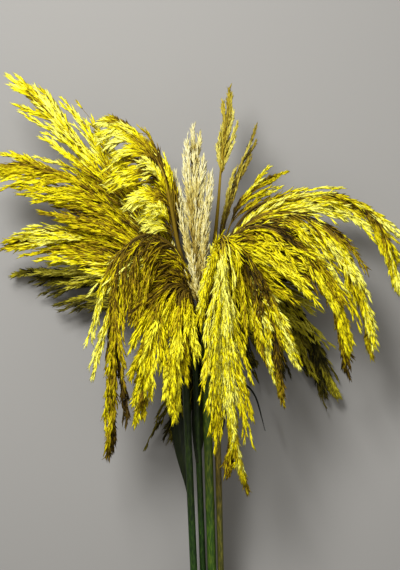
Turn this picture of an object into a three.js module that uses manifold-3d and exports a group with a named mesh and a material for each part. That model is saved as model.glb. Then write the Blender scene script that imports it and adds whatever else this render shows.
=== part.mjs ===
// A bundle of pampas grass lying on a table: nineteen cut stalks, each a stem
// with a drooping plume, and three leaf blades that are still on the stems.
// Millimetres, +Z up. +Y runs from the cut ends to the plumes, +X to the right.
import * as THREE from 'three';
import { mergeVertices } from 'three/addons/utils/BufferGeometryUtils.js';
import Module from 'manifold-3d';

const wasm = await Module();
wasm.setup();

// driving dimensions
const tableDrop = 90;                // from the middle of the neck down to the table
const cutEndY = -230;                // where the stems are cut
const neckMiddleX = -0.75;           // middle of the stems where the plumes begin
const cutMiddleX = 15;               // middle of the stems where they are cut
const neckPitch = { x: 11.5, z: 9.5 };   // stem spacing at the neck
const cutPitchX = 9.0;               // column spacing at the cut ends, where stems lie on each other
const cutStep = 3;                   // the cut ends are uneven by steps of this
const cutSteps = 5;
const lastColumn = 3;                // columns run from 0 on the left to 3
const stemSides = 8;
const stemSteps = 5;
const plumeSides = 8;
const plumeSteps = 9;
const neckRadius = 3.2;              // a plume where it leaves its stem
const tipRadius = 1.4;
const fullAt = 0.3;                  // share of the route over which a plume swells
const bendShare = 0.8;               // a ring stays inside this share of its bend's radius
const gap = 0.4;                     // clearance kept between neighbouring solids
const stemRest = 0.05;               // clearance of the lowest stems above the table
const leafSides = 8;
const leafSteps = 8;
const leafThickness = 1.3;           // half thickness of a blade

// One row for each stalk: the column of its stem and its layer at the neck, from -2,
// the lowest, to 3, how far up the stem ends and its radius, then the plume: its
// route from the end of the stem, the radius of its thickest part, how far its
// weight hangs off the route, and the share of the route that is bare.
const stalks = {
  thin_spike: { column: 2, layer: -1, topY: 248, radius: 2.9, girth: 7, bare: 0.35,
    hang: [0, 0, 0],
    route: [[16, 61, -11], [29, 123, -17], [41, 173, -21], [53, 201, -23], [59, 225, -25]] },
  fingers: { column: 3, layer: -1, topY: 245, radius: 3.0, girth: 10, bare: 0.4,
    hang: [0, -2, 0],
    route: [[11, 58, 0], [24, 125, -10], [42, 154, -18], [63, 163, -24], [95, 170, -30]] },
  brown_upright: { column: 2, layer: 0, topY: 248, radius: 3.3, girth: 11, bare: 0.3,
    hang: [0, 0, 0],
    route: [[11, 50, -10], [16, 116, -14], [18, 161, -16], [24, 216, -18], [28, 268, -20]] },
  pale_upright: { column: 2, layer: 1, topY: 250, radius: 3.5, girth: 16, bare: 0.08,
    hang: [0, 0, 0],
    route: [[-4, 48, 0], [-7, 114, 1], [-11, 169, 1], [-14, 214, 0]] },
  front: { column: 2, layer: 3, topY: 253, radius: 5.0, girth: 29, bare: 0.26,
    hang: [0, -6, 0],
    route: [[5, 56, 27], [11, 89, 46], [19, 76, 63], [21, 4, 70], [24, -79, 63], [26, -169, 51]] },
  front_left: { column: 0, layer: 3, topY: 246, radius: 4.2, girth: 24, bare: 0.26,
    hang: [0, -6, 2],
    route: [[-2, 35, 21], [-12, 49, 42], [-25, 31, 55], [-33, -21, 57], [-38, -63, 50],
      [-43, -99, 42]] },
  front_middle: { column: 1, layer: 3, topY: 250, radius: 3.4, girth: 17, bare: 0.26,
    hang: [0, -6, 2],
    route: [[-2, 24, 24], [-9, 29, 42], [-17, -4, 55], [-19, -56, 55], [-23, -99, 48]] },
  front_right: { column: 3, layer: 3, topY: 253, radius: 3.4, girth: 20, bare: 0.26,
    hang: [0, -4, 0],
    route: [[7, 56, 22], [22, 79, 38], [42, 45, 50], [60, -7, 52], [78, -65, 45],
      [86, -85, 40]] },
  left_curl: { column: 1, layer: 1, topY: 250, radius: 3.6, girth: 26, bare: 0.3,
    hang: [-16, -12, 0],
    route: [[-10, 48, 14], [-16, 98, 28], [-26, 149, 36], [-42, 183, 42], [-66, 210, 44],
      [-88, 220, 42], [-106, 217, 38]] },
  left_high: { column: 0, layer: 0, topY: 252, radius: 3.6, girth: 24, bare: 0.2,
    hang: [-4, -8, 0],
    route: [[-8, 40, 6], [-26, 89, 12], [-55, 138, 18], [-93, 185, 22], [-137, 228, 20],
      [-191, 274, 12]] },
  left_reach: { column: 0, layer: -1, topY: 248, radius: 3.4, girth: 26, bare: 0.2,
    hang: [0, -12, -2],
    route: [[-19, 45, 6], [-46, 88, 10], [-81, 134, 16], [-118, 164, 20], [-157, 180, 20],
      [-206, 185, 16]] },
  left_low: { column: 0, layer: -2, topY: 244, radius: 3.3, girth: 24, bare: 0.15,
    hang: [0, -8, -2],
    route: [[-20, 36, 1], [-49, 74, -1], [-84, 100, 1], [-126, 114, 3], [-162, 107, 1],
      [-196, 95, -3]] },
  left_hanging: { column: 0, layer: 2, topY: 254, radius: 3.1, girth: 23, bare: 0.28,
    hang: [0, -10, 0],
    route: [[-5, 55, 22], [-26, 93, 40], [-53, 86, 52], [-72, 34, 54], [-81, -29, 48],
      [-88, -104, 36], [-80, -150, 28]] },
  right_inner: { column: 3, layer: 2, topY: 250, radius: 3.4, girth: 24, bare: 0.22,
    hang: [-2, -8, 0],
    route: [[12, 61, 17], [37, 88, 29], [75, 93, 37], [106, 67, 41], [127, 27, 39],
      [139, -21, 31], [145, -51, 25]] },
  right_outer: { column: 3, layer: 1, topY: 255, radius: 3.5, girth: 23, bare: 0.2,
    hang: [0, -10, 0],
    route: [[13, 63, 16], [41, 104, 24], [81, 116, 30], [121, 99, 34], [149, 58, 36],
      [160, 1, 32], [170, -45, 24]] },
  right_arch: { column: 3, layer: 0, topY: 248, radius: 3.4, girth: 17, bare: 0.2,
    hang: [-3, -12, 0],
    route: [[14, 61, 2], [40, 114, -6], [79, 143, -10], [127, 150, -10], [170, 133, -6],
      [198, 94, 0], [203, 28, 4]] },
  back: { column: 2, layer: -2, topY: 240, radius: 3.3, girth: 27, bare: 0.24,
    hang: [0, -6, -3],
    route: [[-7, 36, -29], [-11, 24, -47], [-15, -33, -55], [-31, -87, -52],
      [-73, -140, -44]] },
  left_back: { column: 1, layer: -2, topY: 240, radius: 3.3, girth: 24, bare: 0.2,
    hang: [0, -12, -4],
    route: [[-34, 29, -24], [-68, 56, -38], [-109, 70, -47], [-152, 72, -50],
      [-212, 68, -50]] },
  right_back: { column: 3, layer: -2, topY: 240, radius: 3.4, girth: 27, bare: 0.2,
    hang: [0, -8, -3],
    route: [[22, 34, -24], [54, 38, -39], [87, 8, -49], [119, -31, -53], [139, -77, -53]] },
};

// A blade leaves the stem of the named stalk at footY and follows its route from
// there. Its foot stands off the stem on the given side, and wide is the way its
// width runs.
const leaves = {
  left: { stalk: 'front_left', footY: 60, side: [-1, 0, 0], wide: [1, 0, 0.3], halfWidth: 9,
    route: [[-1, 25, 0], [-4, 55, -2], [-11, 88, -6], [-22, 120, -12]] },
  right: { stalk: 'right_back', footY: 120, side: [1, 0, 0], wide: [0, 0.3, 1], halfWidth: 5,
    route: [[8, 44, 2], [22, 62, 2], [38, 48, 0], [49, 8, -6]] },
  inner: { stalk: 'front_middle', footY: 96, side: [0, 0, 1], wide: [1, 0, 0], halfWidth: 8,
    route: [[1, 30, 4], [2, 62, 9], [3, 92, 12], [4, 112, 13]] },
};

const straw = new THREE.Color(0xc9c02a);
const stemGreen = new THREE.Color(0x4b5a24);
const leafGreen = new THREE.Color(0x22301c);

// a material with a colour mixed between two others, so that pieces can be told apart
function material(from, to, share) {
  const color = from.clone().lerp(to, share);
  return new THREE.MeshStandardMaterial({ color, roughness: 0.8, metalness: 0 });
}

// The two directions across a curve at each of its rings. With a wide direction
// given they follow it, otherwise they are the curve's own.
function crossFrames(curve, steps, wide) {
  const frames = curve.computeFrenetFrames(steps, false);
  if (!wide) return [frames.normals, frames.binormals];
  const across = frames.tangents.map((tangent) => (
    wide.clone().addScaledVector(tangent, -wide.dot(tangent)).normalize()));
  return [across, across.map((width, i) => frames.tangents[i].clone().cross(width))];
}

// Bends a straight lathe body along a curve. Row i of the lathe takes its place
// on the curve and is moved by offsets[i]; flat squeezes its second direction.
function bentBody(curve, radii, sides, offsets, flat = 1, wide = null) {
  const steps = radii.length - 1;
  const length = curve.getLength();
  const profile = [new THREE.Vector2(0, 0)];
  radii.forEach((radius, i) => profile.push(new THREE.Vector2(radius, (length * i) / steps)));
  profile.push(new THREE.Vector2(0, length));
  const body = new THREE.LatheGeometry(profile, sides);
  const [normals, binormals] = crossFrames(curve, steps, wide);
  const middles = radii.map((_, i) => curve.getPointAt(i / steps).add(offsets[i]));
  const position = body.attributes.position;
  for (let v = 0; v < position.count; v += 1) {
    const row = Math.round((position.getY(v) / length) * steps);
    const point = middles[row].clone();
    point.addScaledVector(normals[row], position.getX(v));
    point.addScaledVector(binormals[row], -position.getZ(v) * flat);
    position.setXYZ(v, point.x, point.y, point.z);
  }
  return body;
}

// a closed geometry as a solid that can be cut
function solidOf(geometry) {
  const bare = geometry.clone();
  bare.deleteAttribute('normal');
  bare.deleteAttribute('uv');
  const merged = mergeVertices(bare, 1e-4);
  return new wasm.Manifold(new wasm.Mesh({
    numProp: 3,
    vertProperties: merged.attributes.position.array,
    triVerts: new Uint32Array(merged.index.array),
  }));
}

// the largest piece of a solid, in case a cut has left crumbs
function largest(solid) {
  const pieces = solid.decompose();
  return pieces.reduce((best, piece) => (piece.volume() > best.volume() ? piece : best));
}

function geometryOf(solid) {
  const mesh = solid.getMesh();
  const geometry = new THREE.BufferGeometry();
  geometry.setAttribute('position', new THREE.BufferAttribute(mesh.vertProperties, 3));
  geometry.setIndex(new THREE.BufferAttribute(mesh.triVerts, 1));
  geometry.computeVertexNormals();
  return geometry;
}

// The middle of a stem at the cut end and at the neck. At the cut ends it lies on
// the stems below it in its column, and all but the lowest are cut a little short.
function stemEnds(stalk) {
  const column = stalk.column - lastColumn / 2;
  const below = Object.values(stalks).filter((other) => (
    other.column === stalk.column && other.layer < stalk.layer));
  const lift = below.reduce((height, other) => height + 2 * other.radius + gap, stemRest);
  const short = cutStep * ((below.length * (lastColumn + stalk.column)) % cutSteps);
  const cut = new THREE.Vector3(
    cutMiddleX + column * cutPitchX, cutEndY, -tableDrop + lift + stalk.radius);
  const neck = new THREE.Vector3(
    neckMiddleX + column * neckPitch.x, stalk.topY, stalk.layer * neckPitch.z);
  return [cut.lerp(neck, short / cut.distanceTo(neck)), neck];
}

// the stem's solid, fatter and longer by a positive extra
function stemBody(stalk, extra) {
  const [cut, neck] = stemEnds(stalk);
  const beyond = neck.clone().sub(cut).setLength(extra);
  const curve = new THREE.LineCurve3(cut, neck.add(beyond));
  const radii = Array(stemSteps + 1).fill(stalk.radius + extra);
  const offsets = radii.map(() => new THREE.Vector3());
  return bentBody(curve, radii, stemSides, offsets);
}

// 0 on the bare part, 1 where the plume is fullest, 0 again at its tip
function fullness(share, bare) {
  const rise = THREE.MathUtils.smoothstep(share, bare, bare + fullAt);
  const past = Math.max(0, (share - bare - fullAt) / (1 - bare - fullAt));
  return rise * (1 - past * past);
}

// the radius of the bend at each ring of a curve
function bendRadii(curve, steps) {
  const tangents = curve.computeFrenetFrames(steps, false).tangents;
  const reach = curve.getLength() / steps;
  return tangents.map((_, i) => {
    const before = tangents[Math.max(i - 1, 0)];
    const after = tangents[Math.min(i + 1, steps)];
    return (2 * reach) / Math.max(before.angleTo(after), 1e-3);
  });
}

// The plume's solid. A positive extra makes it fatter and longer all round, and
// such a body is what is taken out of the neighbours.
function plumeBody(stalk, extra) {
  const neck = stemEnds(stalk)[1];
  const along = new THREE.Vector3(...stalk.route[0]).normalize();
  const start = neck.clone().addScaledVector(along, gap - extra);
  const points = stalk.route.map((step) => neck.clone().add(new THREE.Vector3(...step)));
  points[points.length - 1].addScaledVector(
    points[points.length - 1].clone().sub(points[points.length - 2]).normalize(), extra);
  const curve = new THREE.CatmullRomCurve3([start, ...points], false, 'centripetal');
  const bends = bendRadii(curve, plumeSteps);
  const radii = [];
  const offsets = [];
  for (let i = 0; i <= plumeSteps; i += 1) {
    const full = fullness(i / plumeSteps, stalk.bare);
    const least = i === plumeSteps ? tipRadius : neckRadius;
    const radius = Math.min(least + (stalk.girth - least) * full, bends[i] * bendShare);
    radii.push(radius + extra);
    offsets.push(new THREE.Vector3(...stalk.hang).multiplyScalar(full));
  }
  return bentBody(curve, radii, plumeSides, offsets);
}

function leafBody(leaf, extra) {
  const stalk = stalks[leaf.stalk];
  const [cut, neck] = stemEnds(stalk);
  const share = (leaf.footY - cut.y) / (neck.y - cut.y);
  const foot = cut.clone().lerp(neck, share);
  foot.addScaledVector(new THREE.Vector3(...leaf.side), stalk.radius + leafThickness + gap);
  const points = leaf.route.map((step) => foot.clone().add(new THREE.Vector3(...step)));
  const curve = new THREE.CatmullRomCurve3([foot, ...points], false, 'centripetal');
  const radii = [];
  for (let i = 0; i <= leafSteps; i += 1) {
    const along = i / leafSteps;
    radii.push(1 + (leaf.halfWidth - 1) * Math.sin(Math.PI * (0.03 + 0.95 * along)) + extra);
  }
  const offsets = radii.map(() => new THREE.Vector3());
  const flat = (leafThickness + extra) / leaf.halfWidth;
  return bentBody(curve, radii, leafSides, offsets, flat, new THREE.Vector3(...leaf.wide));
}

// everything below the table
function underTable() {
  const slab = new THREE.BoxGeometry(2000, 2000, 200);
  slab.translate(0, 0, -tableDrop - 100);
  return solidOf(slab);
}

const bundle = new THREE.Group();
const taken = [];                    // what the pieces made so far keep clear of others

function addPiece(name, body, look) {
  const mesh = new THREE.Mesh(body, look);
  mesh.name = name;
  bundle.add(mesh);
}

// a solid less its neighbours and the table
function cutFree(body) {
  let solid = solidOf(body);
  for (const other of taken) solid = solid.subtract(other);
  return largest(solid);
}

taken.push(underTable());
Object.entries(stalks).forEach(([name, stalk], i) => {
  addPiece(`stem_${name}`, stemBody(stalk, 0), material(stemGreen, straw, (i % 5) / 8));
  taken.push(solidOf(stemBody(stalk, gap)));
});
Object.entries(leaves).forEach(([name, leaf], i) => {
  const body = geometryOf(cutFree(leafBody(leaf, 0)));
  addPiece(`leaf_${name}`, body, material(leafGreen, stemGreen, i / 4));
  taken.push(solidOf(leafBody(leaf, gap)));
});
Object.entries(stalks).forEach(([name, stalk], i) => {
  const body = geometryOf(cutFree(plumeBody(stalk, 0)));
  addPiece(`plume_${name}`, body, material(straw, stemGreen, (i % 7) / 12));
  taken.push(solidOf(plumeBody(stalk, gap)));
});

// the origin is under the middle of the bundle, on the table
const box = new THREE.Box3().setFromObject(bundle);
const middle = box.getCenter(new THREE.Vector3());
bundle.position.set(-middle.x, -middle.y, tableDrop);
bundle.updateMatrixWorld(true);

export default bundle;
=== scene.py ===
import bpy
import numpy as np
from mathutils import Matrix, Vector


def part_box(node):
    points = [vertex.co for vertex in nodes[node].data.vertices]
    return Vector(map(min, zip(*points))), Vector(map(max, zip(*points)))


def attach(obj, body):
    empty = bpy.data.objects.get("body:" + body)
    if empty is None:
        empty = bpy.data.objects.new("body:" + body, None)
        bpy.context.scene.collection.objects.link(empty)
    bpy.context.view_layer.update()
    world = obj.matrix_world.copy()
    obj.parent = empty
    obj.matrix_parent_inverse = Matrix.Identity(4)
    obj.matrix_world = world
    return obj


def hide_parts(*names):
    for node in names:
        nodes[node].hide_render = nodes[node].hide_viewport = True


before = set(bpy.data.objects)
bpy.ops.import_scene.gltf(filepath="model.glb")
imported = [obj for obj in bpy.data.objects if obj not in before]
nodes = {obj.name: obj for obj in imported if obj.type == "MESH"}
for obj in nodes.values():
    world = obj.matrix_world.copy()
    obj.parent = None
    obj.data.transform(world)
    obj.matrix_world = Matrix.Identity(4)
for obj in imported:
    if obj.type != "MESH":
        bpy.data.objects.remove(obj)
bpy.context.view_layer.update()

mm = 0.001
print("frame loaded:", len(nodes), "nodes")

# the camera looks straight down on the bundle as it lies
view = {
    "over": "stem_front",       # measured from the upper end of this stem
    "aim": (-5.0, 39.6),        # mm to the right of it and beyond it
    "height": 1890.0,           # mm above the table
    "fieldAt": 90.0,            # mm above the table, where the field below is measured
    "field": 627.0,             # mm from one end of the view to the other
}

studio = {
    "floor": (0.297, 0.289, 0.274), "floorHalf": 15.0,     # m
    "sky": (0.70, 0.67, 0.62), "skyPower": 0.35,
    "middle": (0, 0.1, 0.1),    # what the lamps point at
    "keyAt": (-0.38, 0.78, 1.25), "keySize": 0.5, "keyPower": 26.0,
    "fillAt": (0.7, -0.2, 1.6), "fillSize": 1.2, "fillPower": 4.0,
}


def unit(vectors):
    # each vector divided by its own length
    return vectors / np.maximum(np.linalg.norm(vectors, axis=-1, keepdims=True), 1e-12)


def ease(share):
    # 0 to 1 with a level start and end: 3 x squared less 2 x cubed
    share = np.clip(share, 0, 1)
    return share * share * (3 - 2 * share)


def linear(colour):
    # a screen colour from 0 to 255 as the light it stands for
    c = np.array(colour, float) / 255
    return tuple(np.where(c <= 0.04045, c / 12.92, ((c + 0.055) / 1.055) ** 2.4))


def verticesOf(node):
    co = np.zeros(len(nodes[node].data.vertices) * 3)
    nodes[node].data.vertices.foreach_get("co", co)
    return co.reshape(-1, 3)


def stemEnd(node, upper):
    # the mean of the corners that lie at the upper or the cut end of a stem
    co = verticesOf(node)
    reach = co[:, 1] if upper else -co[:, 1]
    return co[reach > reach.max() - 2 * mm].mean(axis=0)


def smoothRoute(points, count):
    # a Hermite curve through the points, each slope half the step between its
    # neighbours, then sampled again at equal lengths
    p = np.array(points, float)
    p = np.vstack([2 * p[0] - p[1], p, 2 * p[-1] - p[-2]])
    spans = len(p) - 3
    t = np.linspace(0, spans - 1e-9, spans * 24)
    i = t.astype(int) + 1
    f = (t - i + 1)[:, None]
    slopeA = (p[i + 1] - p[i - 1]) / 2
    slopeB = (p[i + 2] - p[i]) / 2
    curve = ((2 * f**3 - 3 * f**2 + 1) * p[i] + (f**3 - 2 * f**2 + f) * slopeA
             + (3 * f**2 - 2 * f**3) * p[i + 1] + (f**3 - f**2) * slopeB)
    walked = np.concatenate([[0], np.cumsum(np.linalg.norm(np.diff(curve, axis=0), axis=1))])
    even = np.linspace(0, walked[-1], count)
    return np.stack([np.interp(even, walked, curve[:, k]) for k in range(3)], axis=1)


def pointsOn(paths, share):
    # points and directions at shares of the way along many paths
    spot = np.clip(share, 0, 0.9999) * (paths.shape[1] - 1)
    low = spot.astype(int)
    part = (spot - low)[..., None]
    row = np.arange(len(paths)).reshape((-1,) + (1,) * (share.ndim - 1))
    a, b = paths[row, low], paths[row, low + 1]
    return a + (b - a) * part, unit(b - a)


def crossOf(direction):
    # two unit vectors across each direction
    helper = np.where(np.abs(direction[..., 2:]) > 0.85, [1.0, 0.2, 0.0], [0.0, 0.12, 1.0])
    side = unit(np.cross(direction, helper))
    return side, np.cross(direction, side)


def leaning(direction, angle, turn):
    # the direction tipped by an angle towards a turn round it
    side, up = crossOf(direction)
    angle, turn = angle[..., None], turn[..., None]
    return unit(np.cos(angle) * direction
                + np.sin(angle) * (np.cos(turn) * side + np.sin(turn) * up))


def arcs(start, heading, tip, ending, pull, steps):
    # many arcs at once, each a cubic Bezier curve that leaves its start along the
    # heading and comes to its tip along the ending, held to both by the pull
    reach = np.linalg.norm(tip - start, axis=1)[:, None] * pull
    a, b = (start + heading * reach)[:, None], (tip - ending * reach)[:, None]
    t = np.linspace(0, 1, steps)[None, :, None]
    return ((1 - t) ** 3 * start[:, None] + 3 * (1 - t) ** 2 * t * a + 3 * (1 - t) * t**2 * b
            + t**3 * tip[:, None])


def alongEdge(edge, share):
    # points of an outline at shares of the way from its first point to its last
    spot = share * (len(edge) - 1)
    return np.stack([np.interp(spot, np.arange(len(edge)), edge[:, k]) for k in range(2)], axis=1)


def bowed(start, heading, fall, length, bow, steps):
    # many stalks at once: each walks its length in equal steps, and its heading
    # turns to the fall by the bow times the eased share walked
    share = ease((np.arange(steps) + 0.5) / steps)
    pull = (bow[:, None] * share)[..., None]
    step = unit((1 - pull) * heading[:, None] + pull * fall[:, None])
    walk = np.cumsum(step, axis=1) * (length / steps)[:, None, None]
    return np.concatenate([start[:, None], start[:, None] + walk], axis=1)


def skin(rings, first, last):
    # many closed skins at once: rings of points from one pole to the other, each
    # ring running round the way towards the last pole, so that faces point outwards
    count, rows, sides = rings.shape[:3]
    verts = np.concatenate([rings.reshape(count, rows * sides, 3), first[:, None], last[:, None]], axis=1)
    here = np.arange(sides)
    onward = (here + 1) % sides
    base = (np.arange(rows - 1) * sides)[:, None]
    a, b = (base + here).ravel(), (base + onward).ravel()
    near, far = np.full(sides, rows * sides), np.full(sides, rows * sides + 1)
    end = (rows - 1) * sides
    one = np.concatenate([np.stack([a, b, b + sides], 1), np.stack([a, b + sides, a + sides], 1),
                          np.stack([near, onward, here], 1), np.stack([far, end + here, end + onward], 1)])
    tris = (one[None] + (np.arange(count) * (rows * sides + 2))[:, None, None]).reshape(-1, 3)
    return verts, tris


def closedShells(centres, radii, sides, flat=1.0, roll=None):
    # many spindles at once: the first and last centres are poles, each centre
    # between carries a ring, centre + radius (cos a side + flat sin a up)
    rows = centres.shape[1]
    tangent = unit(np.gradient(centres, axis=1))
    side, up = crossOf(unit(centres[:, -1] - centres[:, 0]))
    side = side[:, None] - tangent * np.sum(side[:, None] * tangent, axis=2, keepdims=True)
    side = unit(side)
    up = np.cross(tangent, side)
    angle = 2 * np.pi * np.arange(sides) / sides
    if roll is not None:
        c, s = np.cos(roll)[:, None, None], np.sin(roll)[:, None, None]
        side, up = c * side + s * up, c * up - s * side
    ring = (np.cos(angle)[:, None] * side[:, 1:-1, None]
            + flat * np.sin(angle)[:, None] * up[:, 1:-1, None])
    ring = centres[:, 1:-1, None] + radii[:, 1:-1, None, None] * ring
    verts, tris = skin(ring, centres[:, 0], centres[:, -1])
    rowOf = np.concatenate([np.repeat(np.arange(1, rows - 1), sides), [0, rows - 1]])
    return verts, tris, rowOf / (rows - 1)


def capped(paths):
    # a path whose ends are doubled, so that its tube has flat ends
    return np.concatenate([paths[:, :1], paths, paths[:, -1:]], axis=1)


def joined(parts):
    # several sets of closed forms as one: points, triangles and tone map together
    points, faces, maps, base = [], [], [], 0
    for verts, tris, uv in parts:
        points.append(verts.reshape(-1, 3))
        faces.append(tris + base)
        maps.append(uv.reshape(-1, 2))
        base += len(points[-1])
    return np.concatenate(points), np.concatenate(faces), np.concatenate(maps)


def toneMap(verts, along, tone, gain):
    # u is the tone with a gain from foot to tip, v the share along the form
    u = tone[:, None] + gain * (along[None] - 0.5)
    v = np.broadcast_to(along[None], u.shape)
    return np.stack([np.clip(u, 0.01, 0.99), 0.02 + 0.96 * v], axis=2)


def restOnTable(points, softness=1.6 * mm):
    # heights near the table level out above it: s ln(1 + exp(z / s)), and 0.1 mm
    z = points[:, 2] / softness
    points[:, 2] = softness * np.logaddexp(0, z) + 0.1 * mm
    return points


def addPiece(name, points, tris, uv, material, replaced=()):
    mesh = bpy.data.meshes.new(name)
    mesh.vertices.add(len(points))
    mesh.vertices.foreach_set("co", np.asarray(points, np.float32).ravel())
    mesh.loops.add(tris.size)
    mesh.loops.foreach_set("vertex_index", tris.ravel().astype(np.int32))
    mesh.polygons.add(len(tris))
    mesh.polygons.foreach_set("loop_start", np.arange(0, tris.size, 3, dtype=np.int32))
    mesh.polygons.foreach_set("use_smooth", np.ones(len(tris), bool))
    if uv is not None:
        layer = mesh.uv_layers.new(name="OFBake")
        layer.data.foreach_set("uv", uv[tris.ravel()].astype(np.float32).ravel())
    mesh.update(calc_edges=True)
    mesh.validate()
    mesh.materials.append(material)
    piece = bpy.data.objects.new(name, mesh)
    bpy.context.scene.collection.objects.link(piece)
    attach(piece, "root")
    if replaced:
        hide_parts(*replaced)
    return piece


plumeInks = {                    # from the deepest tone to the palest
    "lemon": [(0.00, (30, 24, 5)), (0.18, (84, 64, 8)), (0.36, (148, 122, 10)),
              (0.55, (212, 194, 8)), (0.78, (248, 238, 14)), (1.00, (255, 252, 120))],
    "gold": [(0.00, (32, 25, 5)), (0.18, (86, 66, 6)), (0.36, (150, 124, 8)),
             (0.55, (212, 193, 8)), (0.78, (246, 234, 12)), (1.00, (255, 247, 60))],
    # olive: a darker, greener copy of the yellow dye, painted shade for the plumes that lie at the back
    "olive": [(0.00, (18, 20, 6)), (0.18, (52, 48, 12)), (0.36, (104, 96, 24)),
              (0.55, (158, 148, 34)), (0.78, (212, 202, 40)), (1.00, (244, 236, 100))],
    "cream": [(0.00, (70, 56, 20)), (0.25, (150, 126, 50)), (0.50, (206, 186, 92)),
              (0.75, (232, 220, 142)), (1.00, (246, 240, 196))],
    "straw": [(0.00, (52, 42, 14)), (0.25, (104, 88, 28)), (0.50, (160, 140, 44)),
              (0.75, (204, 186, 62)), (1.00, (236, 226, 120))],
}


plumeSurface = {
    "roughness": 0.62, "gloss": 0.12,
    "stripes": 1.4, "wander": 2.5,      # how close and how crooked the stripes are
    "stripeShade": 0.82,                # how dark a stripe goes
}


def newFinish(name, roughness, gloss):
    material = bpy.data.materials.new(name)
    material.use_nodes = True
    shader = material.node_tree.nodes["Principled BSDF"]
    shader.inputs["Roughness"].default_value = roughness
    shader.inputs["Specular IOR Level"].default_value = gloss
    return material, material.node_tree, shader


def inkRamp(tree, value, inks):
    # a colour for each value, from ink to ink, each ink with its place
    ramp = tree.nodes.new("ShaderNodeValToRGB")
    stops = ramp.color_ramp.elements
    while len(stops) < len(inks):
        stops.new(0.5)
    for stop, (place, ink) in zip(stops, inks):
        stop.position = place
        stop.color = (*linear(ink), 1)
    tree.links.new(value, ramp.inputs["Fac"])
    return ramp.outputs["Color"]


def ranged(tree, value, source, target=(0, 1)):
    # a value carried from its source range to the target range
    node = tree.nodes.new("ShaderNodeMapRange")
    ends = ("From Min", "From Max", "To Min", "To Max")
    for end, number in zip(ends, (*source, *target)):
        node.inputs[end].default_value = number
    tree.links.new(value, node.inputs["Value"])
    return node.outputs["Result"]


def multiplier(tree, colour):
    # a node that multiplies this colour by another, which is its input 7
    mix = tree.nodes.new("ShaderNodeMix")
    mix.data_type = "RGBA"
    mix.blend_type = "MULTIPLY"
    mix.inputs["Factor"].default_value = 1.0
    tree.links.new(colour, mix.inputs[6])
    return mix


def shaded(tree, colour, shade):
    mix = multiplier(tree, colour)
    tree.links.new(shade, mix.inputs[7])
    return mix.outputs[2]


def tinted(tree, colour, tint, share):
    # the colour times the tint, as far as the share says
    mix = multiplier(tree, colour)
    mix.inputs[7].default_value = (*tint, 1)
    tree.links.new(share, mix.inputs["Factor"])
    return mix.outputs[2]


def noiseOn(tree, vector, scale, detail, roughness=0.5):
    noise = tree.nodes.new("ShaderNodeTexNoise")
    noise.inputs["Scale"].default_value = scale
    noise.inputs["Detail"].default_value = detail
    noise.inputs["Roughness"].default_value = roughness
    tree.links.new(vector, noise.inputs["Vector"])
    return noise.outputs["Fac"]


def plumeFinish(name, inks):
    # the tone map's u picks the ink, and crooked stripes darken it a little
    material, tree, shader = newFinish(name, plumeSurface["roughness"], plumeSurface["gloss"])
    uvMap = tree.nodes.new("ShaderNodeUVMap")
    uvMap.uv_map = "OFBake"
    parts = tree.nodes.new("ShaderNodeSeparateXYZ")
    stripes = tree.nodes.new("ShaderNodeTexWave")
    stripes.wave_type = "BANDS"
    stripes.inputs["Scale"].default_value = plumeSurface["stripes"]
    stripes.inputs["Distortion"].default_value = plumeSurface["wander"]
    tree.links.new(uvMap.outputs["UV"], parts.inputs["Vector"])
    tree.links.new(uvMap.outputs["UV"], stripes.inputs["Vector"])
    colour = inkRamp(tree, parts.outputs["X"], inks)
    shade = ranged(tree, stripes.outputs["Fac"], (0, 1), (plumeSurface["stripeShade"], 1))
    tree.links.new(shaded(tree, colour, shade), shader.inputs["Base Color"])
    return material


caneInks = {                     # dark streak, body, light streak
    "deep": ((12, 28, 6), (30, 58, 14), (66, 96, 28)),
    "green": ((26, 48, 10), (56, 90, 20), (114, 134, 42)),
    "olive": ((40, 42, 12), (82, 82, 22), (134, 128, 46)),
    "tan": ((56, 46, 18), (102, 86, 32), (152, 132, 60)),
}
leafInks = ((8, 15, 5), (18, 30, 9), (40, 54, 20))
caneSurface = {
    "stretch": (60, 4, 60),             # streaks run along Y
    "streaks": (12.0, 6.0, 0.62),       # scale, detail, roughness
    "inkAt": (0.3, 0.5, 0.72),
    "blotches": (26.0, 3.0),            # scale, detail
    "blotchFrom": (0.35, 0.7), "blotchTo": (0.6, 1.1),
    "ripening": (-0.13, -0.07),         # m along Y, from green to brown
    "ripe": (0.95, 0.72, 0.55),         # the tint of the brown end
    "relief": 0.35, "reliefHeight": 0.0006,
}


def caneFinish(name, inks, roughness=0.45, gloss=0.3):
    # long thin streaks along the cane, softened with larger blotches, and browner
    # towards the plumes
    material, tree, shader = newFinish(name, roughness, gloss)
    place = tree.nodes.new("ShaderNodeTexCoord")
    stretched = tree.nodes.new("ShaderNodeMapping")
    stretched.inputs["Scale"].default_value = caneSurface["stretch"]
    parts = tree.nodes.new("ShaderNodeSeparateXYZ")
    relief = tree.nodes.new("ShaderNodeBump")
    relief.inputs["Strength"].default_value = caneSurface["relief"]
    relief.inputs["Distance"].default_value = caneSurface["reliefHeight"]
    tree.links.new(place.outputs["Object"], stretched.inputs["Vector"])
    tree.links.new(place.outputs["Object"], parts.inputs["Vector"])
    streaks = noiseOn(tree, stretched.outputs["Vector"], *caneSurface["streaks"])
    blotches = noiseOn(tree, place.outputs["Object"], *caneSurface["blotches"])
    colour = inkRamp(tree, streaks, list(zip(caneSurface["inkAt"], inks)))
    shade = ranged(tree, blotches, caneSurface["blotchFrom"], caneSurface["blotchTo"])
    ripeness = ranged(tree, parts.outputs["Y"], caneSurface["ripening"])
    colour = tinted(tree, shaded(tree, colour, shade), caneSurface["ripe"], ripeness)
    tree.links.new(colour, shader.inputs["Base Color"])
    tree.links.new(streaks, relief.inputs["Height"])
    tree.links.new(relief.outputs["Normal"], shader.inputs["Normal"])
    return material


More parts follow.
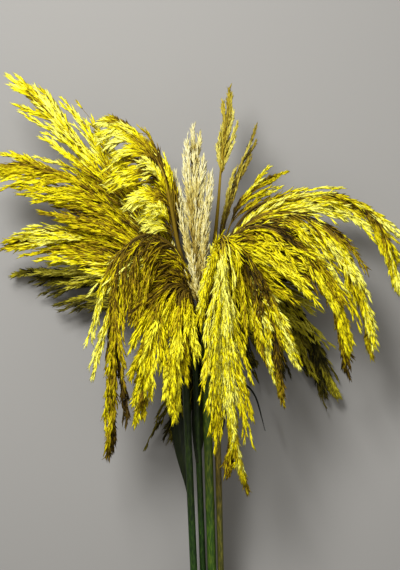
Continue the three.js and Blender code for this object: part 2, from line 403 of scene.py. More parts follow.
twigInks = [(0.00, (34, 26, 8)), (0.3, (96, 76, 20)), (0.6, (158, 132, 28)), (1.00, (214, 196, 44))]
plumeMats = {key: plumeFinish("plume_" + key, inks) for key, inks in plumeInks.items()}
twigMat = plumeFinish("plume_twigs", twigInks)
stemMats = {key: caneFinish("stem_" + key, inks) for key, inks in caneInks.items()}
leafMat = caneFinish("leaf_green", leafInks, roughness=0.6, gloss=0.15)
print("finishes made")

# Places are in mm from the neck, the upper end of the stem in front. A plume's
# route runs from its stem, and the tips of its branches lie between its two sides,
# each listed from the lowest branch to the plume's own tip. Besides, each has:
#   bare      the share of its route with no branch on it
#   branches  how many, in how many locks
#   deep      mm that the locks stand out to the front and back
#   fall      the way the branches fall, and bow how far they give in to it
#   heart     the tone near the spine, and tone that of the two sides, 0 dark to 1 pale: the dye's own tone with painted shade, darker in the heart and on the side away from the light
#   hair      how much more of the lowest branches is bare, or less where it is negative
#   brown     the share of the plume over which the branches are duller, partly browner and partly painted shade near the neck
#   ink       its dye, and twig about how long its twigs are in mm
# and, where it isn't as usual:
#   fade      how much darker its own tip is
#   split     how many ends it parts into above a share
#   shade     painted shade: how much darker the locks at the back are
#   fine      how thick its spikelets are, as a share of the usual
#   cane      the tone of its spine, and stout how thick the spine is
usual = dict(fade=0, split=(9, 1), shade=0.3, fine=1, cane=0.3, stout=1)
plumes = {
    "thin_spike": dict(bare=0.4, branches=32, locks=12, deep=3, fall=(0.35, 1), bow=0.5, heart=0.3,
                       tone=(0.6, 0.6), hair=0.05, brown=0.1, ink="straw", twig=5, fine=0.7, cane=0.5,
                       route=[(7, 34, -36), (14, 69, -40), (24, 121, -44), (37, 165, -48),
                              (51, 197, -50), (59, 216, -52)],
                       oneSide=[(32, 160), (35, 178), (46, 188), (52, 203), (57, 217)],
                       otherSide=[(43, 163), (43, 178), (51, 188), (56, 201), (60, 213)]),
    "fingers": dict(bare=0.6, branches=36, locks=12, deep=3, fall=(1, 0.25), bow=0.5, heart=0.3,
                    tone=(0.62, 0.56), hair=0.05, brown=0.2, ink="lemon", twig=6, split=(3, 0),
                    fine=0.85, cane=0.45,
                    route=[(10, 36, -36), (19, 76, -40), (33, 117, -46), (51, 143, -52), (66, 155, -56),
                           (80, 160, -58)],
                    oneSide=[(57, 155), (71, 164), (84, 170)],
                    otherSide=[(70, 128), (86, 148), (103, 160)]),
    "brown_upright": dict(bare=0.62, branches=50, locks=12, deep=5, fall=(0.1, 1), bow=0.4, heart=0.5,
                          tone=(0.66, 0.8), hair=0, brown=0.1, fade=0.2, ink="straw", twig=7, fine=0.8,
                          cane=0.55, shade=0.15, stout=1.9,
                          route=[(3, 34, -28), (10, 78, -32), (15, 128, -36), (19, 178, -40),
                                 (24, 217, -42), (28, 252, -44)],
                          oneSide=[(14, 199), (16, 220), (20, 238), (25, 259)],
                          otherSide=[(44, 199), (40, 218), (34, 236), (33, 260)]),
    "pale_upright": dict(bare=0.05, branches=112, locks=22, deep=12, fall=(0, 1), bow=0.4, heart=0.36,
                         tone=(0.82, 0.78), hair=0, brown=0.6, ink="cream", twig=11, fine=0.75,
                         shade=0.1, cane=0.9,
                         route=[(-5, 32, 6), (-9, 72, 14), (-11, 118, 12), (-13, 158, 6), (-11, 188, 2)],
                         oneSide=[(-29, 49), (-31, 92), (-29, 125), (-30, 146), (-26, 174), (-22, 196),
                                  (-16, 212)],
                         otherSide=[(8, 71), (11, 112), (13, 146), (12, 171), (8, 182), (-2, 195),
                                    (-10, 209)]),
    "front": dict(bare=0.2, branches=156, locks=28, deep=20, fall=(0.05, -1), bow=0.6, heart=0.96,
                  tone=(0.82, 0.76), hair=-0.08, brown=0.05, fade=0.55, ink="lemon", twig=13,
                  split=(4, 0.45), shade=0.5,
                  route=[(2, 40, 26), (11, 77, 46), (17, 89, 58), (19, 64, 66), (20, 14, 68),
                         (22, -39, 64), (26, -91, 56), (35, -140, 48), (40, -167, 42)],
                  oneSide=[(-6, 26), (-9, -7), (-6, -45), (-11, -82), (-8, -120), (7, -140), (21, -157),
                           (36, -173)],
                  otherSide=[(43, 40), (51, -7), (53, -54), (51, -84), (49, -110), (46, -129),
                             (43, -155), (49, -181)]),
    "front_left": dict(bare=0.18, branches=114, locks=20, deep=18, fall=(-0.1, -1), bow=0.6, heart=0.3,
                       tone=(0.74, 0.82), hair=0.1, brown=0.12, fade=0.12, ink="gold", twig=13,
                       route=[(-18, 28, 16), (-31, 41, 32), (-43, 32, 42), (-53, -3, 44), (-60, -42, 38),
                              (-67, -78, 30), (-71, -94, 26)],
                       oneSide=[(-75, 11), (-92, -21), (-85, -46), (-78, -65), (-76, -85), (-72, -109)],
                       otherSide=[(-30, -8), (-37, -42), (-42, -73), (-50, -90), (-57, -85),
                                  (-71, -108)]),
    "front_middle": dict(bare=0.18, branches=84, locks=14, deep=16, fall=(0, -1), bow=0.6, heart=0.32,
                         tone=(0.84, 0.84), hair=0.06, brown=0.1, fade=0.12, ink="gold", twig=12,
                         route=[(-14, 28, 22), (-22, 32, 36), (-26, 8, 44), (-28, -29, 44),
                                (-30, -66, 36), (-33, -88, 32)],
                         oneSide=[(-43, -8), (-47, -40), (-47, -69), (-41, -85), (-36, -103)],
                         otherSide=[(-1, -12), (-6, -35), (-16, -54), (-22, -76), (-27, -93),
                                    (-34, -104)]),
    "front_right": dict(bare=0.18, branches=108, locks=18, deep=15, fall=(0.45, -1), bow=0.5, heart=0.28,
                        tone=(0.62, 0.78), hair=0.06, brown=0.12, fade=0.05, ink="lemon", twig=12,
                        split=(2, 0.3), shade=0.4,
                        route=[(8, 34, 22), (16, 75, 38), (29, 84, 48), (48, 57, 52), (65, 19, 48),
                               (77, -19, 42), (86, -45, 36)],
                        oneSide=[(42, 11), (52, -20), (64, -48), (76, -67), (86, -83)],
                        otherSide=[(71, 39), (83, 5), (92, -24), (99, -44), (98, -63)]),
    "left_curl": dict(bare=0.34, branches=116, locks=24, deep=18, fall=(-0.45, -0.9), bow=0.6, heart=0.3,
                      tone=(0.62, 0.92), hair=0.15, brown=0.1, ink="lemon", twig=13, stout=1.8,
                      cane=0.45,
                      route=[(-19, 45, -4), (-29, 86, 10), (-36, 123, 24), (-45, 160, 34),
                             (-61, 185, 34), (-80, 204, 30), (-98, 212, 22), (-108, 214, 14)],
                      oneSide=[(-44, 142), (-51, 168), (-61, 187), (-78, 208), (-101, 217), (-117, 216)],
                      otherSide=[(-52, 114), (-65, 105), (-79, 104), (-93, 117), (-105, 145),
                                 (-110, 173), (-109, 197), (-117, 214)]),
    "left_high": dict(bare=0.05, branches=138, locks=46, deep=18, fall=(-0.8, 0.6), bow=0.5, heart=0.38,
                      tone=(0.72, 0.7), hair=0.2, brown=0.35, ink="lemon", twig=14, fine=1.2,
                      route=[(-29, 45, -20), (-54, 91, -14), (-83, 129, -8), (-114, 164, -4),
                             (-144, 199, -6), (-175, 234, -12), (-197, 256, -16)],
                      oneSide=[(-93, 178), (-105, 202), (-116, 221), (-131, 238), (-153, 237),
                               (-169, 250), (-189, 264), (-216, 274)],
                      otherSide=[(-112, 150), (-127, 160), (-146, 171), (-166, 183), (-183, 197),
                                 (-194, 218), (-200, 237), (-214, 256)]),
    "left_reach": dict(bare=0.05, branches=146, locks=34, deep=16, fall=(-1, -0.2), bow=0.5, heart=0.4,
                       tone=(0.7, 0.42), hair=0.25, brown=0.35, ink="lemon", twig=15, fine=1.3,
                       route=[(-38, 40, -28), (-65, 84, -26), (-95, 117, -22), (-125, 144, -20),
                              (-158, 161, -20), (-194, 171, -22), (-220, 174, -26)],
                       oneSide=[(-117, 153), (-134, 161), (-154, 171), (-176, 179), (-198, 183),
                                (-220, 182), (-238, 177)],
                       otherSide=[(-121, 129), (-143, 126), (-174, 117), (-196, 127), (-213, 135),
                                  (-227, 146), (-237, 162)]),
    "left_low": dict(bare=0.04, branches=116, locks=24, deep=16, fall=(-1, -0.3), bow=0.5, heart=0.16,
                     tone=(0.76, 0.58), hair=0.38, brown=0.6, ink="lemon", twig=15, fine=1.3,
                     route=[(-40, 36, -38), (-71, 65, -40), (-107, 87, -42), (-144, 98, -42),
                            (-178, 98, -44), (-198, 93, -46)],
                     oneSide=[(-122, 120), (-147, 126), (-171, 118), (-196, 113), (-205, 103),
                              (-215, 94), (-225, 85)],
                     otherSide=[(-127, 56), (-149, 65), (-173, 70), (-202, 64), (-207, 74), (-216, 78),
                                (-225, 80)]),
    "left_hanging": dict(bare=0.06, branches=142, locks=26, deep=18, fall=(-0.15, -1), bow=0.6,
                         heart=0.2, tone=(1.05, 0.24), hair=-0.2, brown=0.05, fade=0.72, ink="lemon",
                         twig=13,
                         route=[(-16, 40, 2), (-26, 71, 14), (-46, 90, 22), (-68, 92, 28), (-86, 76, 32),
                                (-97, 41, 32), (-102, -3, 26), (-100, -52, 18), (-99, -100, 10),
                                (-102, -133, 6)],
                         oneSide=[(-88, 77), (-107, 64), (-119, 34), (-119, 5), (-128, -36), (-118, -69),
                                  (-108, -97), (-105, -127), (-105, -155)],
                         otherSide=[(-52, 45), (-56, 17), (-64, -8), (-72, -36), (-80, -66), (-82, -94),
                                    (-87, -118), (-98, -134), (-103, -156)]),
    "right_inner": dict(bare=0.1, branches=140, locks=24, deep=16, fall=(0.5, -0.9), bow=0.55, heart=0.5,
                        tone=(0.74, 0.64), hair=-0.1, brown=0.2, fade=0.1, ink="gold", twig=13,
                        shade=0.6,
                        route=[(10, 40, -4), (23, 83, 8), (51, 102, 18), (83, 95, 24), (110, 71, 24),
                               (132, 39, 20), (146, 4, 16), (153, -25, 10), (156, -39, 6)],
                        oneSide=[(102, 97), (126, 82), (142, 64), (155, 36), (163, 11), (165, -9),
                                 (161, -38), (157, -58)],
                        otherSide=[(57, 49), (84, 32), (108, 13), (123, 14), (135, 4), (144, -3),
                                   (147, -39), (154, -55)]),
    "right_outer": dict(bare=0.1, branches=132, locks=26, deep=16, fall=(0.45, -0.9), bow=0.55,
                        heart=0.5, tone=(0.78, 0.68), hair=-0.1, brown=0.2, fade=0.1, ink="lemon",
                        twig=13, shade=0.45,
                        route=[(10, 40, -8), (25, 83, 0), (58, 114, 8), (94, 117, 12), (126, 103, 14),
                               (152, 75, 14), (168, 36, 10), (177, 2, 6), (182, -22, 2)],
                        oneSide=[(103, 131), (124, 128), (143, 118), (157, 100), (166, 77), (174, 53),
                                 (180, 21), (186, -14), (184, -42)],
                        otherSide=[(99, 90), (118, 67), (135, 43), (149, 23), (162, 4), (170, -13),
                                   (179, -31), (183, -42)]),
    "right_arch": dict(bare=0.12, branches=124, locks=22, deep=14, fall=(0.8, -0.6), bow=0.45,
                       heart=0.36, tone=(0.86, 0.74), hair=0.15, brown=0.15, ink="lemon",
                       twig=12, fine=1.15,
                       route=[(11, 40, -18), (24, 84, -26), (50, 122, -34), (89, 138, -36),
                              (128, 141, -36), (163, 133, -34), (191, 111, -30), (206, 76, -26),
                              (213, 43, -24)],
                       oneSide=[(83, 140), (110, 144), (134, 147), (159, 143), (180, 133), (206, 118),
                                (226, 89), (228, 45), (216, 19)],
                       otherSide=[(101, 129), (123, 130), (143, 129), (163, 121), (181, 105), (196, 78),
                                  (203, 47), (210, 19)]),
    # the plumes at the back carry painted shade: the olive dye, a dark heart and low tones
    "back": dict(bare=0.06, branches=88, locks=18, deep=20, fall=(-0.3, -0.95), bow=0.4, heart=0.08,
                 tone=(0.34, 0.24), hair=0, brown=0.1, ink="olive", twig=12,
                 route=[(-5, 16, -72), (0, -7, -86), (-4, -35, -96), (-12, -60, -102), (-21, -83, -104),
                        (-30, -104, -102)],
                 oneSide=[(-41, -59), (-55, -92), (-76, -154), (-62, -145), (-47, -139), (-37, -136)],
                 otherSide=[(25, -59), (22, -87), (11, -112), (0, -126), (-12, -133), (-28, -138)]),
    "left_back": dict(bare=0.04, branches=92, locks=18, deep=20, fall=(-0.85, -0.5), bow=0.5, heart=0.08,
                      tone=(0.86, 0.24), hair=0.25, brown=0.3, fade=-0.12, ink="olive", twig=12,
                      split=(6, 0.1),
                      route=[(-44, 32, -62), (-78, 40, -78), (-119, 48, -90), (-156, 54, -98),
                             (-186, 57, -100), (-207, 56, -102)],
                      oneSide=[(-145, 66), (-164, 63), (-178, 64), (-195, 61), (-209, 59), (-224, 54)],
                      otherSide=[(-111, 0), (-128, 2), (-151, 4), (-176, 0), (-184, 17), (-186, 34),
                                 (-196, 48), (-223, 52)]),
    "right_back": dict(bare=0.06, branches=154, locks=28, deep=20, fall=(0.6, -0.8), bow=0.5, heart=0.06,
                       tone=(0.66, 0.2), hair=0, brown=0.4, ink="olive", twig=13, fine=1.1,
                       route=[(11, 34, -54), (31, 63, -72), (59, 59, -86), (91, 32, -94), (118, -7, -98),
                              (135, -44, -102), (142, -69, -102)],
                       oneSide=[(117, 66), (140, 23), (151, -23), (156, -54), (153, -69), (152, -88)],
                       otherSide=[(24, -28), (40, -59), (59, -75), (91, -80), (124, -84), (134, -93),
                                  (151, -90)]),
}

neck = stemEnd("stem_front", True)

spines = {
    "rows": 80,
    "girth": (1.3, 1.9, 1.0),       # mm: the radius, what the foot adds, what is lost to the tip
    "footEnds": 1 / 6,              # the share over which the foot thins
    "lossFrom": -0.2,               # below 0, the loss starts later: here a sixth of the way on
    "sides": 8,
}
locks = {
    "within": (0.2, 0.8),           # where in its own stretch a lock sits
    "towardsBase": 1.3,             # above 1, more of the locks are near the base
    "step": 0.618034, "stepScatter": 0.05,      # across the plume from lock to lock
    "bare": (0.1, 0.42),            # the share of a lock's branches that is bare
    "toneScatter": 0.08, "front": 0.1,          # painted light: the tone added to the locks in front
    "scatter": 3.5,                 # mm that the tip of a lock strays
    "fallScatter": 0.10, "headingScatter": 0.14,
}
branching = {
    "steps": 10,
    "shareScatter": 0.02, "placeScatter": 0.03, "acrossScatter": 0.04, "headingScatter": 0.07,
    "shortest": 0.5, "mostlyLong": 0.6,         # the shortest, and below 1 more are long
    "loose": (1.5, 1.3),            # how far a branch strays from its lock, less if it is long
    "spread": 1.12,                 # how much of the width the locks fill
    "scatter": 2.4,                 # mm that a tip strays from its lock
    "calmer": 0.5,                  # how much less all stray at the plume's own tip
    "fromBase": 1.45,               # above 1, more of the branches leave near the base
    "lastPlace": 0.92,              # none leaves the spine beyond this share
    "sideDepth": 1.05, "tipDepth": 0.6,         # depth left at the sides, lost at the tip
    "levelAhead": 0.2,              # a tip is level with the spine this far on
    "clinging": 0.36,               # how long a branch clings to its spine
    "girth": (0.75, 0.25), "thinnest": 0.6,     # mm at foot and tip; share left to a short one
    "bareLoss": 0.75, "hairEnds": 0.5, "leastBare": 0.03,
    "toneScatter": 0.03,
}
twigs = {
    "perBranch": 11,
    "last": 0.97,                   # share of the branch
    "fullBranch": 60, "sizeLimits": (0.5, 1.1), "tipLoss": 0.4,     # mm, shares
    "shrink": (1.15, 0.65),         # length at the foot of a branch, and the loss to its tip
    "lengths": (0.7, 1.15),
    "lean": (3, 15),                # degrees
    "bow": 0.35,
    "radius": 0.3,                  # mm
}
grain = {
    "perTwig": 6,
    "first": 0.05, "scatter": 0.08,             # shares of the twig
    "length": 12.0, "width": 2.0, "flat": 0.6,  # mm, mm, share of the width
    "lengths": (0.7, 1.15), "widths": (0.75, 1.15),
    "lean": (1, 11),                # degrees
    "fan": 0.04, "tipFan": 2.2,
    "shape": ((0.26, 1.0), (0.64, 0.78)),       # shares of the length and of the width
    "fullTwig": 12, "leastSize": 0.6,           # mm, share
    "toneScatter": 0.10,
}
# painted shade: the heart of a plume is darker than the outer ends of its branches, partly for its browner
# inner branches
tones = {
    "litFrom": 0.15, "litOver": 0.6,            # shares of a branch
    "dullest": 0.45,                # how much of the light the lowest branches keep
    "outside": 0.1,                 # added at the outer ends
    "darkest": 0.12,
    "branch": (0.22, 0.7), "twigLess": 0.15,    # a branch's tone from its plume's heart
    "spineGain": 0.4, "branchGain": 0.5, "twigGain": 0.2,       # from foot to tip
}


def growSpine(name, p):
    # the midline from the stem's upper end along the route, and its radii: a foot
    # that eases into a thin cane, and a loss towards the tip
    route = np.vstack([stemEnd("stem_" + name, True)[None], neck + np.array(p["route"], float) * mm])
    rows = spines["rows"]
    least, foot, loss = spines["girth"]
    atFoot = 1 - ease(np.linspace(0, 1 / spines["footEnds"], rows))
    radius = least + foot * atFoot - loss * ease(np.linspace(spines["lossFrom"], 1, rows))
    return smoothRoute(route, rows), radius * mm * p["stout"]


def growLocks(p, rng):
    # branches hang together in locks, spread along the plume, and across it by the golden ratio; each has
    # its depth, bare foot, tone and stray; the tone holds painted shade on the locks at the back and
    # painted light on those in front
    n = p["locks"]
    order = np.arange(n)
    share = ((order + rng.uniform(*locks["within"], n)) / n) ** locks["towardsBase"]
    across = (0.5 + order * locks["step"] + rng.normal(0, locks["stepScatter"], n)) % 1
    ends, splitAt = p["split"]
    across = np.where(share > splitAt, np.round(across * (ends - 1)) / (ends - 1), across)
    depth = rng.uniform(-1, 1, n)
    bare = rng.uniform(*locks["bare"], n)
    # painted shade and light: a lock at the back is darker by shade times its depth, and one in front is
    # lighter by front times it, besides its own random tone
    tone = rng.normal(0, locks["toneScatter"], n) + np.where(depth > 0, locks["front"], p["shade"]) * depth
    stray = locks["scatter"] * rng.normal(0, 1, (n, 3))
    return share, across, depth, bare, tone, stray


def betweenSides(p, share, across):
    # the point at a share along the two sides and at a share across from one to
    # the other, in metres
    oneSide = alongEdge(np.array(p["oneSide"], float), share)
    otherSide = alongEdge(np.array(p["otherSide"], float), share)
    across = across[:, None]
    return neck[:2] + ((1 - across) * oneSide + across * otherSide) * mm


def growBranches(p, spine, rng):
    # each branch leaves the spine at its place, heading along it, and comes to its
    # tip between the two sides of the plume along a mix of its own way and the fall
    b, n = branching, p["branches"]
    lockShare, lockAcross, lockDepth, lockBare, lockToneAndShade, lockStray = growLocks(p, rng)
    lock = np.arange(n) * p["locks"] // n
    share = np.clip(lockShare[lock] + rng.normal(0, b["shareScatter"], n), 0.005, 0.995)
    whole = rng.uniform(b["shortest"], 1.0, n) ** b["mostlyLong"]
    loose = b["loose"][0] - b["loose"][1] * whole
    across = b["spread"] * (lockAcross[lock] - 0.5) + 0.5 + rng.normal(0, b["acrossScatter"], n) * loose
    across = np.clip(across, -0.05, 1.05)
    place = np.clip(share + rng.normal(0, b["placeScatter"], n), 0, 1) ** b["fromBase"]
    place = p["bare"] + (b["lastPlace"] - p["bare"]) * place
    start, heading = (found[0] for found in pointsOn(spine[None], place[None]))

    bulge = np.sqrt(np.maximum(b["sideDepth"] - (2 * across - 1) ** 2, 0)) * (1 - b["tipDepth"] * share)
    depth = bulge * lockDepth[lock] * p["deep"]
    ahead = pointsOn(spine[None], np.minimum(place + b["levelAhead"], 1)[None])[0][0]
    stray = b["scatter"] * rng.normal(0, 1, (n, 3)) * loose[:, None]
    stray = (lockStray[lock] + stray) * (1 - b["calmer"] * share)[:, None]
    tip = np.column_stack([betweenSides(p, share, across), ahead[:, 2] + depth * mm]) + stray * mm
    tip = start + (tip - start) * whole[:, None]

    fall = np.array([*p["fall"], 0]) + rng.normal(0, locks["fallScatter"], (p["locks"], 3))[lock]
    ending = unit((1 - p["bow"]) * unit(tip - start) + p["bow"] * unit(fall))
    heading = heading + rng.normal(0, locks["headingScatter"], (p["locks"], 3))[lock]
    heading = unit(heading + rng.normal(0, b["headingScatter"], (n, 3)))
    bare = lockBare[lock] * (1 - b["bareLoss"] * share) + p["hair"] * (1 - ease(share / b["hairEnds"]))
    return {"paths": arcs(start, heading, tip, ending, b["clinging"], b["steps"]),
            "length": np.linalg.norm(tip - start, axis=1), "ending": ending,
            "share": share, "across": across, "bare": np.maximum(bare, b["leastBare"]),
            "tone": lockToneAndShade[lock]}


def growTwigs(p, branches, rng):
    # short twigs leave the outer part of the branches on all sides and droop a
    # little; with them comes how far along its branch each one is
    n, k = p["branches"], twigs["perBranch"]
    bare = branches["bare"][:, None]
    along = bare + (twigs["last"] - bare) * (np.arange(k) + rng.uniform(0, 1, (n, k))) / k
    start, way = (found.reshape(-1, 3) for found in pointsOn(branches["paths"], along))
    size = np.clip(branches["length"] / (twigs["fullBranch"] * mm), *twigs["sizeLimits"])
    size = size * (1 - twigs["tipLoss"] * branches["share"] ** 2)
    length = p["twig"] * mm * (twigs["shrink"][0] - twigs["shrink"][1] * along) * size[:, None]
    length = length * rng.uniform(*twigs["lengths"], (n, k))
    turn = rng.uniform(0, 2 * np.pi, n * k)
    angle = np.radians(rng.uniform(*twigs["lean"], n * k))
    fall = np.repeat(branches["ending"], k, axis=0)
    bow = np.full(n * k, twigs["bow"] * p["bow"])
    return bowed(start, leaning(way, angle, turn), fall, length.ravel(), bow, 2), along


def growGrain(p, twigPaths, rng):
    # spikelets hang along the twigs, the last ones at the very end: the centres and
    # radii of spindles that are thickest near the foot and bend a little outwards
    m, g = len(twigPaths), grain["perTwig"]
    count = m * g
    spots = np.linspace(grain["first"], 1.0, g)[None]
    spots = spots + rng.uniform(-grain["scatter"], grain["scatter"], (m, g))
    foot, way = (found.reshape(-1, 3) for found in pointsOn(twigPaths, spots))
    lean = leaning(way, np.radians(rng.uniform(*grain["lean"], count)), rng.uniform(0, 2 * np.pi, count))
    size = np.clip(p["twig"] / grain["fullTwig"], grain["leastSize"], 1)
    reach = grain["length"] * mm * rng.uniform(*grain["lengths"], count) * size
    fan = rng.normal(0, grain["fan"], (count, 3))
    (low, thick), (high, thin) = grain["shape"]
    centres = np.stack([foot, foot + lean * (low * reach)[:, None],
                        foot + (lean + fan) * (high * reach)[:, None],
                        foot + unit(lean + grain["tipFan"] * fan) * reach[:, None]], axis=1)
    half = grain["width"] / 2 * mm * rng.uniform(*grain["widths"], count) * p["fine"]
    return centres, half[:, None] * np.array([0, thick, thin, 0])[None]


def plumeTones(p, branches, along, rng):
    # each lock has its own tone, each side too, one side painted lit and the other painted in shade, and
    # the outer end of a branch is lighter than its heart, partly for the browner inner branches and partly
    # as painted shade inside the plume
    share, (one, other) = branches["share"], p["tone"]
    own = (branches["tone"] + rng.normal(0, branching["toneScatter"], len(share)))[:, None]
    outside = one + (other - one) * branches["across"] - p["fade"] * share**1.5 + tones["outside"]
    light = tones["dullest"] + (1 - tones["dullest"]) * ease(share / p["brown"])
    lit = ease((along - tones["litFrom"]) / tones["litOver"]) * light[:, None]
    ofTwig = p["heart"] + (outside[:, None] - p["heart"]) * lit + own
    flat, perHeart = tones["branch"]
    return flat + perHeart * p["heart"] + own[:, 0], np.maximum(ofTwig, tones["darkest"]).ravel()


def growPlume(name, given, seed):
    p = {**usual, **given}
    rng = np.random.default_rng(seed)
    spine, spineRadius = growSpine(name, p)
    branches = growBranches(p, spine, rng)
    twigPaths, along = growTwigs(p, branches, rng)
    centres, girth = growGrain(p, twigPaths, rng)
    branchTone, twigTone = plumeTones(p, branches, along, rng)
    count = len(centres)
    tone = np.repeat(twigTone, grain["perTwig"]) + rng.normal(0, grain["toneScatter"], count)

    verts, tris, rows = closedShells(centres, girth, 3, grain["flat"], rng.uniform(0, np.pi, count))
    points, tris, uv = joined([(verts, tris, toneMap(verts, rows, tone, tones["twigGain"]))])
    addPiece(f"plume_{name}_spikelets", restOnTable(points), tris, uv, plumeMats[p["ink"]],
             ["plume_" + name])

    verts, tris, rows = closedShells(capped(spine[None]), np.pad(spineRadius, 1, "edge")[None],
                                     spines["sides"])
    spineTube = (verts, tris, toneMap(verts, rows, np.array([p["cane"]]), tones["spineGain"]))
    length = branches["length"]
    thick = np.linspace(*branching["girth"], branching["steps"])[None] * mm
    thinnest = branching["thinnest"]
    thick = thick * (thinnest + (1 - thinnest) * length / length.max())[:, None]
    verts, tris, rows = closedShells(capped(branches["paths"]), np.pad(thick, ((0, 0), (1, 1)), "edge"), 3)
    branchTubes = (verts, tris, toneMap(verts, rows, branchTone, tones["branchGain"]))
    twigRadius = np.array([0, twigs["radius"], 0])[None] * mm * np.ones((len(twigPaths), 1))
    verts, tris, rows = closedShells(twigPaths, twigRadius, 3)
    twigTubes = (verts, tris, toneMap(verts, rows, twigTone - tones["twigLess"], tones["twigGain"]))
    points, tris, uv = joined([spineTube, branchTubes, twigTubes])
    addPiece(f"plume_{name}_branches", restOnTable(points), tris, uv, twigMat)
    return count


total = sum(growPlume(name, p, 11 + 7 * i) for i, (name, p) in enumerate(plumes.items()))
print("plumes grown:", len(plumes), "with", total, "spikelets")

stems = {
    "ink": {"front_left": "deep", "left_hanging": "deep", "left_high": "green", "left_reach": "green",
            "left_low": "olive", "front_middle": "deep", "left_curl": "green", "left_back": "olive",
            "front": "green", "pale_upright": "green", "brown_upright": "tan", "thin_spike": "tan",
            "back": "olive", "front_right": "olive", "right_inner": "olive", "right_outer": "olive",
            "right_arch": "green", "fingers": "tan", "right_back": "olive"},
    "sides": 20, "rows": 60,
    "nodeEvery": 168,     # mm between the joints of the cane
    "firstNode": 0.165, "nodeStep": 0.13,   # shares of that
    "nodeTurns": 4, "nodeCycle": 7,         # stem i starts 4 i modulo 7 steps further on
    "outside": 0.965,     # share of the radius between the joints
    "swell": 0.077, "swellHalf": 2.4,       # how much a joint stands out, and half its length in mm
    "groove": 0.03, "grooveAt": 2.2,        # the groove before it
    "boreDepth": 9,       # mm
    "wall": 0.32,         # share of the radius
}


def caneOutline(length, index):
    # stations and shares of the radius from the upper end down the outside, round
    # the cut rim and up the bore; each joint is a bell curve with a groove before it
    station = np.linspace(length, 0, stems["rows"])
    every = stems["nodeEvery"] * mm
    first = stems["firstNode"] + stems["nodeStep"] * (stems["nodeTurns"] * index % stems["nodeCycle"])
    outside = np.full(len(station), stems["outside"])
    for knot in np.arange(first * every, length, every):
        gap = (station - knot) / (stems["swellHalf"] * mm)
        outside += stems["swell"] * np.exp(-gap ** 2)
        outside -= stems["groove"] * np.exp(-((gap + stems["grooveAt"]) ** 2))
    rim = stems["boreDepth"] * mm * np.array([0, 0.5, 1])
    bore = np.full(3, 1 - stems["wall"])
    station = np.concatenate([[length], station, rim, rim[-1:]])
    return station, np.concatenate([[0], outside, bore, [0]])


def growStem(name, index):
    # the outline carried round the line from the cut end to the upper end
    cut, top = stemEnd("stem_" + name, False), stemEnd("stem_" + name, True)
    length = np.linalg.norm(top - cut)
    way = (top - cut) / length
    off = verticesOf("stem_" + name) - cut
    radius = np.linalg.norm(off - (off @ way)[:, None] * way, axis=1).max()
    station, share = caneOutline(length, index)
    centres = cut + station[:, None] * way
    side, up = crossOf(way[None])
    angle = -2 * np.pi * np.arange(stems["sides"]) / stems["sides"]
    ring = np.cos(angle)[:, None] * side + np.sin(angle)[:, None] * up
    inner = slice(1, -1)
    rings = centres[inner, None] + (radius * share[inner])[:, None, None] * ring[None]
    verts, tris = skin(rings[None], centres[:1], centres[-1:])
    addPiece(f"stem_{name}_cane", verts[0], tris, None, stemMats[stems["ink"][name]],
             ["stem_" + name])


for index, name in enumerate(stems["ink"]):
    growStem(name, index)
print("stems made:", len(stems["ink"]))

leaves = {
    "left": dict(wide=(1, 0, 0.3), half=9, fold=0.25, hug=(4.6, 0, 1.6),
                 route=[(-1, 25, 0), (-4, 55, -2), (-11, 88, -6), (-22, 120, -12)]),
    "right": dict(wide=(0, 0.3, 1), half=5, fold=0.3, hug=(-1.0, 0, 0),
                  route=[(8, 44, 2), (22, 62, 2), (38, 48, 0), (49, 8, -6)]),
    "inner": dict(wide=(1, 0, 0), half=8, fold=0.25, hug=(0, 0, -1.2),
                  route=[(1, 30, 4), (2, 62, 9), (3, 92, 12), (4, 112, 13)]),
}
blade = {
    "rows": 60, "columns": 13,
    "thickness": 0.35, "edgeLoss": 0.6,     # mm, and the share lost to the edges
    "ends": 0.15,         # mm, half the width at the two ends
    "ribs": 5, "ribHeight": 0.12,           # mm
    "ripples": 14, "ripple": 0.25,          # mm
    "hugEnds": 0.45,      # the share over which a blade hugs its stem
}


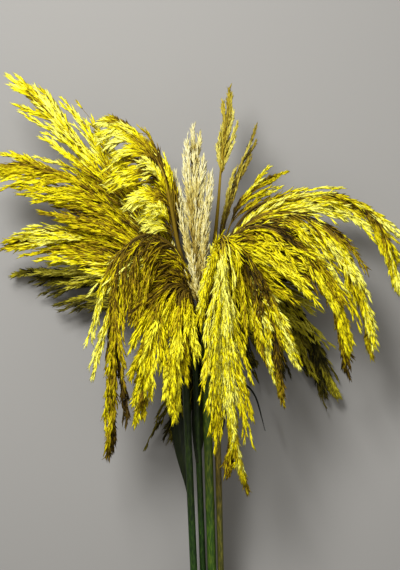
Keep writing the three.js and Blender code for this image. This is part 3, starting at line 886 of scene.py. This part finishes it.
def growLeaf(name, p):
    # a point on the blade is the midline + width(v) x across + a fold that lifts
    # the edges, with ribs along it and a slow ripple, as a thin closed sheet; the
    # width is 1 mm and a sine of v on each side
    low, high = np.array(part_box("leaf_" + name))
    route = np.vstack([[0, 0, 0.0], np.array(p["route"], float)]) * mm
    midline = smoothRoute(route, blade["rows"])
    wide = unit(np.array(p["wide"], float))
    tangent = unit(np.gradient(midline, axis=0))
    across = unit(wide - (tangent @ wide)[:, None] * tangent)
    normal = np.cross(tangent, across)
    v = np.linspace(0, 1, blade["rows"])
    half = mm * (1 + (p["half"] - 1) * np.sin(np.pi * (0.03 + 0.95 * v)))
    half[[0, -1]] = blade["ends"] * mm
    u = np.linspace(-1, 1, blade["columns"])
    lift = p["fold"] * np.abs(u)[None] * half[:, None]
    lift = lift + blade["ribHeight"] * mm * np.cos(np.pi * blade["ribs"] * u)[None]
    lift = lift + blade["ripple"] * mm * np.sin(blade["ripples"] * v)[:, None] * u[None]
    sheet = midline[:, None] + across[:, None] * (half[:, None] * u[None])[..., None]
    sheet = sheet + normal[:, None] * lift[..., None]

    # it is moved to the middle of its CAD blade, and its foot close to its stem
    corners = sheet.reshape(-1, 3)
    sheet = sheet + (low + high) / 2 - (corners.min(0) + corners.max(0)) / 2
    sheet = sheet + np.array(p["hug"], float) * mm * (1 - ease(v / blade["hugEnds"]))[:, None, None]
    thick = blade["thickness"] * mm * (1 - blade["edgeLoss"] * np.abs(u))[None, :, None] * normal[:, None]
    upper, lower = sheet + thick / 2, sheet - thick / 2
    rings = np.concatenate([lower, upper[:, ::-1]], axis=1)
    verts, tris = skin(rings[None], rings[:1].mean(axis=1), rings[-1:].mean(axis=1))
    addPiece(f"leaf_{name}_blade", verts[0], tris, None, leafMat, ["leaf_" + name])


for name, p in leaves.items():
    growLeaf(name, p)
print("leaf blades made:", len(leaves))


def addLamp(name, place, size, power):
    data = bpy.data.lights.new(name, "AREA")
    data.size = size
    data.energy = power
    lamp = bpy.data.objects.new(name, data)
    lamp.location = place
    toward = np.array(studio["middle"]) - np.array(place)
    lamp.rotation_euler = Vector(toward).to_track_quat("-Z", "Y").to_euler()
    bpy.context.scene.collection.objects.link(lamp)


def layFloor():
    half = studio["floorHalf"]
    mesh = bpy.data.meshes.new("floor")
    corners = [(-half, -half, 0), (half, -half, 0), (half, half, 0), (-half, half, 0)]
    mesh.from_pydata(corners, [], [(0, 1, 2, 3)])
    material, _, shader = newFinish("floor_plain", 0.9, 0.5)
    shader.inputs["Base Color"].default_value = (*studio["floor"], 1)
    mesh.materials.append(material)
    floor = bpy.data.objects.new("floor", mesh)
    bpy.context.scene.collection.objects.link(floor)


def lightRoom():
    world = bpy.data.worlds.new("studio")
    world.use_nodes = True
    sky = world.node_tree.nodes["Background"]
    sky.inputs["Color"].default_value = (*studio["sky"], 1)
    sky.inputs["Strength"].default_value = studio["skyPower"]
    bpy.context.scene.world = world
    bpy.context.scene.view_settings.view_transform = "Standard"
    addLamp("key", studio["keyAt"], studio["keySize"], studio["keyPower"])
    addLamp("fill", studio["fillAt"], studio["fillSize"], studio["fillPower"])


def placeCamera():
    top = stemEnd(view["over"], True)
    data = bpy.data.cameras.new("camera")
    data.sensor_width = 36.0
    data.lens = data.sensor_width * (view["height"] - view["fieldAt"]) / view["field"]
    camera = bpy.data.objects.new("camera", data)
    camera.location = (top[0] + view["aim"][0] * mm, top[1] + view["aim"][1] * mm, view["height"] * mm)
    bpy.context.scene.collection.objects.link(camera)
    bpy.context.scene.camera = camera


layFloor()
lightRoom()
placeCamera()
print("studio set")
